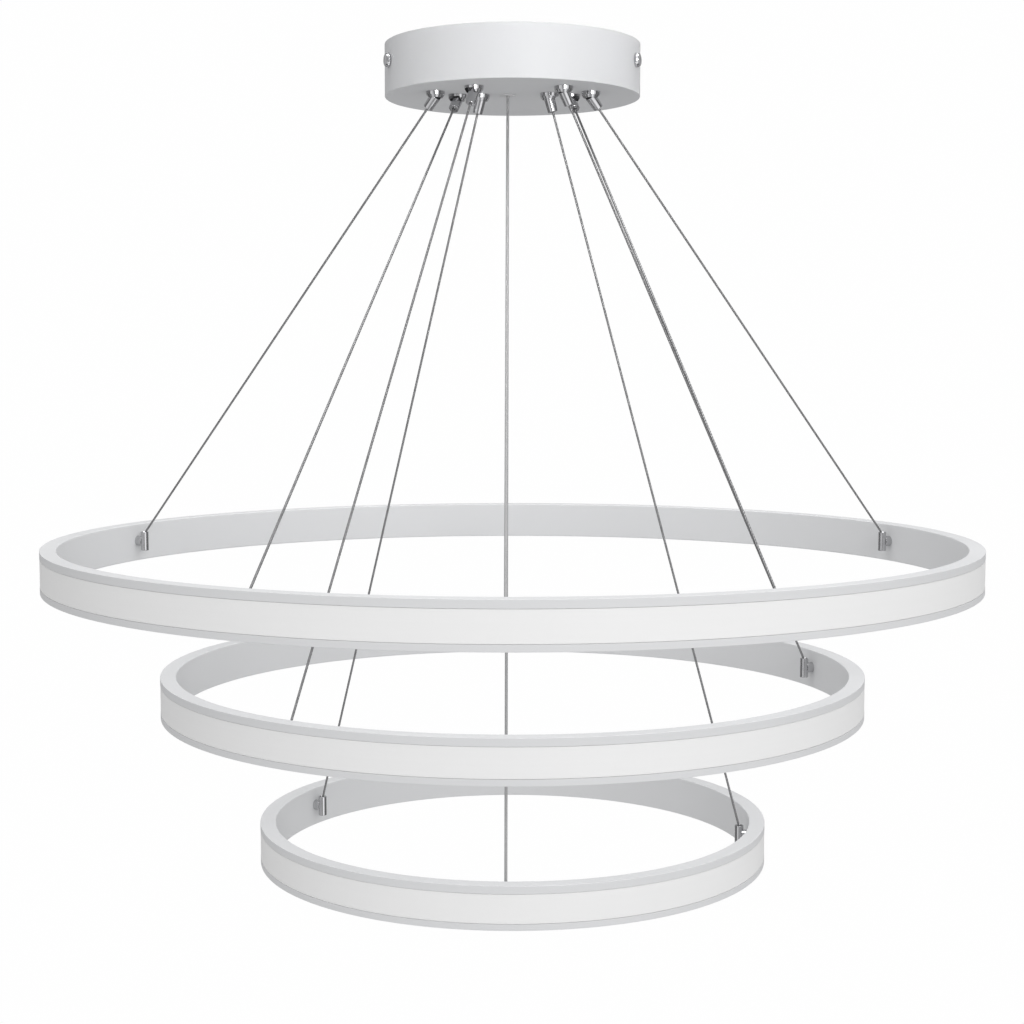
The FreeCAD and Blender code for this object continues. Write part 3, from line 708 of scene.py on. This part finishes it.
def make_galvanised(name):
    """Zinc-coated sheet with its spangle."""
    colours = ((0.46, 0.47, 0.48), (0.62, 0.63, 0.64))

    def links(tree):
        flakes = use_effect(tree, "zinc_spangle", Flakes=210.0).outputs["Mask"]
        marks = use_effect(tree, "handling_marks", Patches=35.0).outputs["Mask"]
        return varied(tree, flakes, colours, marks, (0.34, 0.5), flakes, 0.02 * MM, 0.3)

    return new_finish(name, {"Metallic": 1.0}, links)


def make_sheath(name):
    """The leads' light grey sheath, matt, with the fine drag of its extrusion."""
    base = picked("lead")
    colours, matt = (shade(base, 0.96), base), {"IOR": 1.5, "Specular IOR Level": 0.3}
    return grained(name, colours, (0.5, 0.62), 3200.0, 45.0, 0.02 * MM, 0.4, matt)


def make_board(name):
    """White solder mask over a board, with the weave of the laminate just showing."""
    colours = ((0.80, 0.80, 0.77), (0.86, 0.86, 0.84))
    return grained(name, colours, (0.3, 0.42), 4000.0, 220.0, 0.02 * MM, 0.4, {"IOR": 1.5})


def moulded(name, base, rough, grain=2200.0):
    """A moulded plastic or rubber piece, spark-eroded and matt."""
    colours, matt = (shade(base, 0.95), base), {"IOR": 1.5, "Specular IOR Level": 0.35}
    return grained(name, colours, (rough, rough + 0.1), grain, 30.0, 0.05 * MM, 0.5, matt)


def make_bush(name):
    return moulded(name, picked("bush"), 0.5)


def make_rubber(name):
    return moulded(name, (0.03, 0.03, 0.032), 0.7, 1800.0)


def make_driver_case(name):
    return moulded(name, (0.78, 0.78, 0.76), 0.45)


def make_nylon(name):
    return moulded(name, (0.72, 0.71, 0.67), 0.4, 2600.0)


FINISHES = {
    "cover_powder_coat": make_cover_paint,
    "ring_powder_coat": make_ring_paint,
    "opal_acrylic": make_opal,
    "polished_chrome": make_chrome,
    "stranded_steel": make_strands,
    "grey_sheath": make_sheath,
    "bush_nylon": make_bush,
    "galvanised_sheet": make_galvanised,
    "zinc_plate": make_zinc,
    "black_rubber": make_rubber,
    "driver_case": make_driver_case,
    "natural_nylon": make_nylon,
    "white_board": make_board,
}


def finish(name):
    """The material of this name, made the first time it is wanted."""
    return bpy.data.materials.get(name) or FINISHES[name](name)


# ---------- pieces ----------


class CHANDELIER_OT_ceiling_cover(Operator):
    """Builds the drum-shaped ceiling cover, open at the top"""

    bl_idname = "chandelier.ceiling_cover"
    bl_label = "Ceiling cover"

    def execute(self, context):
        sizes = context.scene.chandelier_cover
        low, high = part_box("ceiling_cover")
        radius, bottom, top = high.y, low.z, high.z
        inner, floor = radius - sizes.wall, low.z + sizes.wall
        outline = [
            (0.0, bottom, 0.0),
            (radius, bottom, sizes.bottom_round),
            (radius, top, sizes.rim_round),
            (inner, top, sizes.rim_round),
            (inner, floor, sizes.wall / 2),
            (0.0, floor, 0.0),
        ]
        drum = mesh_of("cover_drum", turned(outline, COVER_SIDES))
        paint = finish("cover_powder_coat")
        show("cover_drum", drum, paint, "canopy", ["ceiling_cover"])
        return {"FINISHED"}


class CHANDELIER_OT_side_screws(Operator):
    """Builds the knurled screws in the cover's side"""

    bl_idname = "chandelier.side_screws"
    bl_label = "Side screws"

    def execute(self, context):
        sizes = context.scene.chandelier_cover
        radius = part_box("ceiling_cover")[1].y
        head, reach, knurls = sizes.screw_radius, sizes.screw_head, sizes.knurls
        shank, tip, groove = 2.0 * MM, -9.0 * MM, 0.32 * MM
        crisp_angle = math.radians(50)

        def ridged(r, z, angle):
            if r < head - 0.45 * MM or z > reach * 0.52:
                return r
            return r - groove * (1 - abs(math.cos(knurls * angle / 2)))

        outline = [
            (0.0, tip, 0.0),
            (shank, tip, 0.4 * MM),
            (shank, 0.0, 0.05 * MM),
            (head, 0.0, 0.35 * MM),
            (head, reach * 0.5, 0.2 * MM),
            (head - 0.35 * MM, reach * 0.56, 0.1 * MM),
            (head - 1.0 * MM, reach - 0.15 * MM, 0.5 * MM),
            (0.0, reach, 0.0),
        ]
        points, faces, _ = turned(outline, knurls * KNURL_SIDES, 3, ridged)
        screws = []
        for azimuth in SIDE_SCREW_AZIMUTHS:
            outward = at_azimuth(1.0, azimuth, 0.0)
            place = facing_along(outward, at_azimuth(radius, azimuth, -sizes.screw_drop))
            screws.append(moved((points, faces, points), place))
        points, faces, _ = joined(screws)
        mesh = bpy.data.meshes.new("cover_thumb_screws")
        mesh.from_pydata(points.tolist(), [], faces)
        mesh.shade_smooth()
        mesh.set_sharp_from_angle(angle=crisp_angle)
        chrome = finish("polished_chrome")
        show("cover_thumb_screws", mesh, chrome, "canopy", ["cover_side_screws"])
        return {"FINISHED"}


class CHANDELIER_OT_wire_grippers(Operator):
    """Builds the collars under the cover and the swivelling barrels in them"""

    bl_idname = "chandelier.wire_grippers"
    bl_label = "Wire grippers"

    def collar(self, sizes):
        """One collar with its swivel centre at the origin, its notch towards +X."""
        pivot, socket, notch = 1.0 * MM, 5.2 * MM, 2.2 * MM
        bore, neck, neck_length, play = 1.3 * MM, 4.0 * MM, 9.0 * MM, 0.3 * MM
        bottom, top = -pivot, sizes.collar_height - pivot
        widest = sizes.collar_radius
        outline = [
            (bore, socket, 0.0),
            (socket / 2, socket, 0.3 * MM),
            (socket, notch, 0.3 * MM),
            (socket, bottom, 0.2 * MM),
            (widest - sizes.collar_taper, bottom, 0.3 * MM),
            (widest - sizes.collar_draft, bottom + sizes.collar_height * 0.45, 0.4 * MM),
            (widest, top, 0.15 * MM),
            (neck, top, 0.1 * MM),
            (neck, top + neck_length, 0.3 * MM),
            (bore, top + neck_length, 0.3 * MM),
        ]
        half = sizes.barrel_head + play
        tool = block_tool("notch", (0.0, -half, bottom - MM), (widest + MM, half, notch))
        return cut_away("gripper_collar", turned(outline, COLLAR_SIDES), [tool])

    def barrel(self, sizes):
        """One barrel with its swivel centre at the origin, its tip towards -Z."""
        bore, tip, head = 1.3 * MM, -sizes.barrel_length, 0.6 * MM
        outline = [
            (bore, tip, 0.3 * MM),
            (sizes.barrel_tip, tip, sizes.barrel_round),
            (sizes.barrel_head, head, 0.4 * MM),
            (bore, head, 0.1 * MM),
        ]
        return mesh_of("gripper_barrel", turned(outline, POST_SIDES))

    def execute(self, context):
        sizes = context.scene.chandelier_gripper
        chrome = finish("polished_chrome")
        collar, barrel = self.collar(sizes), self.barrel(sizes)
        for name, route in WIRE_ROUTES.items():
            start, end = Vector(route[0]), Vector(route[-1])
            onward = end - start
            heading = Matrix.Rotation(math.atan2(onward.y, onward.x), 4, "Z")
            place, nodes = Matrix.Translation(start) @ heading, ["gripper_collars"]
            show(f"collar_{name}", collar.copy(), chrome, "canopy", nodes, place)
            place, nodes = facing_along(-onward, start), [f"gripper_barrel_{name}"]
            show(f"swivel_{name}", barrel.copy(), chrome, f"barrel_{name}", nodes, place)
        return {"FINISHED"}


class CHANDELIER_OT_lead_outlet(Operator):
    """Builds the bush that the supply leads leave the cover through"""

    bl_idname = "chandelier.lead_outlet"
    bl_label = "Lead outlet"

    def execute(self, context):
        low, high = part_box("lead_outlet_bush")
        middle = (low + high) / 2
        flange = (high.x - low.x) / 2
        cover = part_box("ceiling_cover")[0].z
        neck, hole = 4.8 * MM, 1.5 * MM
        outline = [
            (0.0, low.z, 0.0),
            (flange, low.z, 0.7 * MM),
            (flange, cover, 0.1 * MM),
            (neck, cover, 0.1 * MM),
            (neck, high.z, 0.2 * MM),
            (0.0, high.z, 0.0),
        ]
        bore = [
            (0.0, low.z - MM, 0.0),
            (hole, low.z - MM, 0.01 * MM),
            (hole, high.z + MM, 0.01 * MM),
            (0.0, high.z + MM, 0.0),
        ]
        tools = []
        for route in LEAD_ROUTES.values():
            x, y = route[0][0] - middle.x, route[0][1] - middle.y
            shape = moved(turned(bore, BORE_SIDES, 1), Matrix.Translation((x, y, 0)))
            tools.append(mesh_of("bore", shape))
        mesh = cut_away("outlet_bush", turned(outline, BUSH_SIDES), tools)
        mesh.transform(Matrix.Translation((middle.x, middle.y, 0)))
        bush = finish("bush_nylon")
        show("outlet_bush", mesh, bush, "canopy", ["lead_outlet_bush"])
        return {"FINISHED"}


class CHANDELIER_OT_steel_wires(Operator):
    """Lays the eight stranded steel wires from their grippers to the rings"""

    bl_idname = "chandelier.steel_wires"
    bl_label = "Steel wires"

    def execute(self, context):
        sizes = context.scene.chandelier_wire
        strands = finish("stranded_steel")
        section = strand_section(sizes.wire_diameter / 2)
        step, twist = 1.4 * MM, 2 * math.pi / sizes.wire_lay
        for name, route in WIRE_ROUTES.items():
            mesh, line = drawn_cord(f"rope_{name}", route, section, step, twist)
            piece = show(f"rope_{name}", mesh, strands, "canopy", [f"steel_wire_{name}"])
            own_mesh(piece)
        return {"FINISHED"}


class CHANDELIER_OT_supply_leads(Operator):
    """Lays the three supply leads from the bush to the rings"""

    bl_idname = "chandelier.supply_leads"
    bl_label = "Supply leads"

    def execute(self, context):
        sizes = context.scene.chandelier_wire
        sheath = finish("grey_sheath")
        section = round_section(sizes.lead_diameter / 2)
        for ring, route in LEAD_ROUTES.items():
            mesh, line = drawn_cord(f"lead_{ring}", route, section, 2.0 * MM, 0.0)
            nodes = [f"supply_lead_{ring}"]
            piece = show(f"lead_{ring}", mesh, sheath, "canopy", nodes)
            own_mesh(piece)
        return {"FINISHED"}


def show_on_ring(ring, name, shape, material, node):
    """A piece of one ring, in place of that ring's node."""
    mesh, nodes = mesh_of(f"{ring}_{name}", shape), [f"{ring}_ring_{node}"]
    show(f"{ring}_{name}", mesh, material, f"{ring}_ring", nodes)


def ring_edges(ring):
    """Inner radius, outer radius, bottom and top of a ring."""
    low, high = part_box(f"{ring}_ring_channel")
    return high.y - bpy.context.scene.chandelier_ring.depth, high.y, low.z, high.z


class CHANDELIER_OT_ring_channels(Operator):
    """Builds the three painted channels, open outwards"""

    bl_idname = "chandelier.ring_channels"
    bl_label = "Ring channels"

    def execute(self, context):
        sizes = context.scene.chandelier_ring
        paint = finish("ring_powder_coat")
        edge, fine = sizes.edge_round, 0.2 * MM
        for ring in RINGS:
            inner, outer, bottom, top = ring_edges(ring)
            web, hook = inner + sizes.web, outer - sizes.lip
            outline = [
                (inner, bottom, sizes.inner_round),
                (outer, bottom, edge),
                (outer, bottom + sizes.lower_lip, fine),
                (hook, bottom + sizes.lower_lip, fine),
                (hook, bottom + sizes.flange, fine),
                (web, bottom + sizes.flange, fine),
                (web, top - sizes.flange, fine),
                (hook, top - sizes.flange, fine),
                (hook, top - sizes.upper_lip, fine),
                (outer, top - sizes.upper_lip, fine),
                (outer, top, edge),
                (inner, top, sizes.inner_round),
            ]
            shape = turned(outline, sizes.sides, 3)
            show_on_ring(ring, "channel", shape, paint, "channel")
        return {"FINISHED"}


class CHANDELIER_OT_diffusers(Operator):
    """Builds the opal bands behind the channels' lips"""

    bl_idname = "chandelier.diffusers"
    bl_label = "Diffusers"

    def execute(self, context):
        sizes = context.scene.chandelier_ring
        opal = finish("opal_acrylic")
        edge, fine, gap = 0.3 * MM, 0.1 * MM, 0.15 * MM
        for ring in RINGS:
            low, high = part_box(f"{ring}_ring_diffuser")
            _, outer, bottom, top = ring_edges(ring)
            face, back, front = high.y, high.y - sizes.diffuser, outer - gap
            window_low = bottom + sizes.lower_lip + gap
            window_high = top - sizes.upper_lip - gap
            outline = [
                (back, low.z, edge),
                (face, low.z, edge),
                (face, window_low, fine),
                (front, window_low, edge),
                (front, window_high, edge),
                (face, window_high, fine),
                (face, high.z, edge),
                (back, high.z, edge),
            ]
            shape = turned(outline, sizes.sides, 3)
            show_on_ring(ring, "opal_band", shape, opal, "diffuser")
        return {"FINISHED"}


class CHANDELIER_OT_ring_fittings(Operator):
    """Builds the fittings that hold the wire ends, and the glands of the leads"""

    bl_idname = "chandelier.ring_fittings"
    bl_label = "Ring fittings"

    # Of a post: its radius, height, reach above the cord's end, mouth radius and bore radius.
    wire_post = (3.75 * MM, 17.7 * MM, 1.5 * MM, 3.35 * MM, 1.3 * MM)
    lead_post = (4.4 * MM, 14.4 * MM, 1.2 * MM, 3.95 * MM, 3.6 * MM)

    def fitting(self, end, wall, radius, tall, above, mouth, bore):
        """A post with its mouth above a cord's end, and the foot that meets the ring's wall."""
        boss, foot_drop, seat = 4.75 * MM, 7.2 * MM, 0.75 * MM
        top, depth = end.z + above, above + seat
        azimuth = math.atan2(end.x, -end.y)
        outward = Vector((math.sin(azimuth), -math.cos(azimuth), 0.0))
        axis = math.hypot(end.x, end.y)
        post = [
            (0.0, -tall, 0.0),
            (radius, -tall, 0.5 * MM),
            (radius, 0.0, 0.15 * MM),
            (mouth, 0.0, 0.1 * MM),
            (bore, -depth, 0.05 * MM),
            (0.0, -depth, 0.0),
        ]
        reach = wall - axis - boss * boss / (wall * 2) - radius / 2
        foot = [
            (0.0, 0.0, 0.0),
            (boss, 0.0, 0.3 * MM),
            (boss, reach, 0.15 * MM),
            (0.0, reach, 0.0),
        ]
        middle = outward * (axis + radius / 2)
        middle.z = end.z - foot_drop
        return [
            moved(turned(post, POST_SIDES), Matrix.Translation((end.x, end.y, top))),
            moved(turned(foot, POST_SIDES), facing_along(outward, middle)),
        ]

    def execute(self, context):
        chrome = finish("polished_chrome")
        for ring in RINGS:
            wall = ring_edges(ring)[0]
            fittings = []
            for name, route in WIRE_ROUTES.items():
                if name.startswith(ring):
                    fittings += self.fitting(Vector(route[-1]), wall, *self.wire_post)
            gland = self.fitting(Vector(LEAD_ROUTES[ring][-1]), wall, *self.lead_post)
            shape = joined(fittings)
            show_on_ring(ring, "end_fittings", shape, chrome, "wire_fittings")
            show_on_ring(ring, "lead_entry", joined(gland), chrome, "lead_gland")
        return {"FINISHED"}


class CHANDELIER_OT_inner_parts(Operator):
    """Finishes the parts inside the cover and the rings"""

    bl_idname = "chandelier.inner_parts"
    bl_label = "Inner parts"

    def execute(self, context):
        wearers = {
            "galvanised_sheet": ["ceiling_plate"],
            "zinc_plate": ["plate_lug_nuts", "driver_screws", "earth_screw", "gripper_lock_nuts"],
            "black_rubber": ["mains_grommet"],
            "driver_case": ["led_driver"],
            "natural_nylon": ["terminal_block", "lead_clamp"],
            "white_board": [f"{ring}_ring_led_boards" for ring in RINGS],
        }
        for ring in RINGS:
            wearers["zinc_plate"] += [f"{ring}_ring_fitting_screws", f"{ring}_ring_gland_nut"]
        for name, nodes in wearers.items():
            for node in (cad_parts[node] for node in nodes):
                if not node.material_slots:
                    node.data.materials.append(finish(name))
                for slot in node.material_slots:
                    slot.material = finish(name)
        return {"FINISHED"}


# ---------- stage ----------


def white_light(tree, kind, strength):
    return place_node(tree, kind, {"Color": WHITE, "Strength": strength}).outputs[0]


def either(tree, test, no, yes):
    """One shader where a test says no, and the other where it says yes."""
    return place_node(tree, "ShaderNodeMixShader", {0: test, 1: no, 2: yes}).outputs[0]


def make_floor_finish(name, settings):
    """A pale floor that shows white, lights the underside softly, and isn't there from below."""
    material = bpy.data.materials.new(name)
    tree = cleared(material)
    path = place_node(tree, "ShaderNodeLightPath")
    side = place_node(tree, "ShaderNodeNewGeometry")
    seen = white_light(tree, "ShaderNodeEmission", SEEN_WHITE)
    lit = white_light(tree, "ShaderNodeEmission", settings.ground)
    clear = place_node(tree, "ShaderNodeBsdfTransparent")
    front = either(tree, path.outputs["Is Camera Ray"], lit, seen)
    both = either(tree, side.outputs["Backfacing"], front, clear.outputs[0])
    place_node(tree, "ShaderNodeOutputMaterial", {"Surface": both})
    return material


def make_room_light(settings):
    """White behind the object, a soft room that lights it, and panels for the chrome to mirror."""
    world = bpy.data.worlds.new("studio_room")
    tree = cleared(world)
    path = place_node(tree, "ShaderNodeLightPath")
    where = place_node(tree, "ShaderNodeTexCoord").outputs["Generated"]
    x, y, z = place_node(tree, "ShaderNodeSeparateXYZ", {0: where}).outputs
    heights, brightness = (-0.5, 0.6), (settings.ground, settings.sky)
    room = ranged(tree, z, heights, brightness, interpolation_type="SMOOTHSTEP")
    bearing = reckoned(tree, "ARCTAN2", x, reckoned(tree, "MULTIPLY", y, -1.0))
    turn = ranged(tree, bearing, (-math.pi, math.pi))
    panels = place_node(tree, "ShaderNodeValToRGB", {"Fac": turn})
    stops = panels.color_ramp.elements
    while len(stops) < len(PANELS):
        stops.new(0.5)
    for stop, (place, value) in zip(stops, PANELS):
        stop.position = place
        stop.color = (value, value, value * 1.01, 1.0)
    soft = white_light(tree, "ShaderNodeBackground", room)
    seen = white_light(tree, "ShaderNodeBackground", SEEN_WHITE)
    inputs = {"Color": panels.outputs["Color"], "Strength": 1.0}
    gloss = place_node(tree, "ShaderNodeBackground", inputs).outputs[0]
    lit = either(tree, path.outputs["Is Glossy Ray"], soft, gloss)
    whole = either(tree, path.outputs["Is Camera Ray"], lit, seen)
    place_node(tree, "ShaderNodeOutputWorld", {"Surface": whole})
    return world


class CHANDELIER_OT_stage(Operator):
    """Sets up the floor, the studio light and the camera"""

    bl_idname = "chandelier.stage"
    bl_label = "Stage"

    def soft_light(self, name, position, target, width, power, spread=180.0):
        light = bpy.data.lights.new(name, "AREA")
        light.shape, light.size, light.energy = "DISK", width, power
        light.spread = math.radians(spread)
        holder = placed(name, light)
        holder.location = position
        aim = Vector(target) - Vector(position)
        holder.rotation_euler = aim.to_track_quat("-Z", "Y").to_euler()

    def execute(self, context):
        settings = context.scene.chandelier_stage
        half, drop = 8.0, -settings.floor_drop
        corners = [(x * half, y * half, drop) for x, y in ((-1, -1), (1, -1), (1, 1), (-1, 1))]
        mesh = bpy.data.meshes.new("floor")
        mesh.from_pydata(corners, [], [(0, 1, 2, 3)])
        mesh.materials.append(make_floor_finish("pale_floor", settings))
        floor = placed("floor", mesh)
        floor.visible_glossy = False
        context.scene.world = make_room_light(settings)
        rings, cover = (0.0, 0.0, -0.35), (0.0, 0.0, -0.02)
        self.soft_light("key_light", (0.95, -3.2, 0.3), rings, 1.6, settings.key)
        self.soft_light("near_light", (0.32, -1.4, -0.02), cover, 0.35, settings.near, 26.0)
        self.soft_light("top_light", (0.1, -0.1, 1.6), (0.0, 0.0, -0.4), 1.8, settings.top)
        view = bpy.data.cameras.new("camera")
        view.lens, view.sensor_width = CAMERA_LENS, 36.0
        view.clip_start, view.clip_end = 0.05, 60.0
        camera = placed("camera", view)
        camera.location = CAMERA_PLACE
        camera.rotation_euler = (math.radians(90.0 - CAMERA_TILT), 0.0, 0.0)
        context.scene.camera = camera
        context.scene.view_settings.view_transform = "Standard"
        return {"FINISHED"}


PIECES = (
    CHANDELIER_OT_ceiling_cover,
    CHANDELIER_OT_side_screws,
    CHANDELIER_OT_wire_grippers,
    CHANDELIER_OT_lead_outlet,
    CHANDELIER_OT_steel_wires,
    CHANDELIER_OT_supply_leads,
    CHANDELIER_OT_ring_channels,
    CHANDELIER_OT_diffusers,
    CHANDELIER_OT_ring_fittings,
    CHANDELIER_OT_inner_parts,
    CHANDELIER_OT_stage,
)

SETTINGS = {
    "chandelier_cover": ChandelierCoverSizes,
    "chandelier_gripper": ChandelierGripperSizes,
    "chandelier_wire": ChandelierWireSizes,
    "chandelier_ring": ChandelierRingSizes,
    "chandelier_finishes": ChandelierFinishes,
    "chandelier_stage": ChandelierStage,
}


class CHANDELIER_PT_pieces(Panel):
    """Lists the pieces of the chandelier and its stage"""

    bl_idname = "CHANDELIER_PT_pieces"
    bl_label = "Ring chandelier"
    bl_space_type = "VIEW_3D"
    bl_region_type = "UI"
    bl_category = "Chandelier"

    def draw(self, context):
        for piece in PIECES:
            self.layout.operator(piece.bl_idname)
        for name, group in SETTINGS.items():
            settings = getattr(context.scene, name)
            column = self.layout.column(align=True)
            for setting in group.__annotations__:
                column.prop(settings, setting)


def register():
    for group in SETTINGS.values():
        bpy.utils.register_class(group)
    for piece in (*PIECES, CHANDELIER_PT_pieces):
        bpy.utils.register_class(piece)
    for name, group in SETTINGS.items():
        setattr(bpy.types.Scene, name, PointerProperty(type=group))


def unregister():
    for name in SETTINGS:
        delattr(bpy.types.Scene, name)
    for piece in (CHANDELIER_PT_pieces, *reversed(PIECES)):
        bpy.utils.unregister_class(piece)
    for group in reversed(SETTINGS.values()):
        bpy.utils.unregister_class(group)


def main():
    register()
    bpy.ops.chandelier.ceiling_cover()
    bpy.ops.chandelier.side_screws()
    bpy.ops.chandelier.wire_grippers()
    bpy.ops.chandelier.lead_outlet()
    bpy.ops.chandelier.steel_wires()
    bpy.ops.chandelier.supply_leads()
    bpy.ops.chandelier.ring_channels()
    bpy.ops.chandelier.diffusers()
    bpy.ops.chandelier.ring_fittings()
    bpy.ops.chandelier.inner_parts()
    bpy.ops.chandelier.stage()


if __name__ == "__main__":
    main()
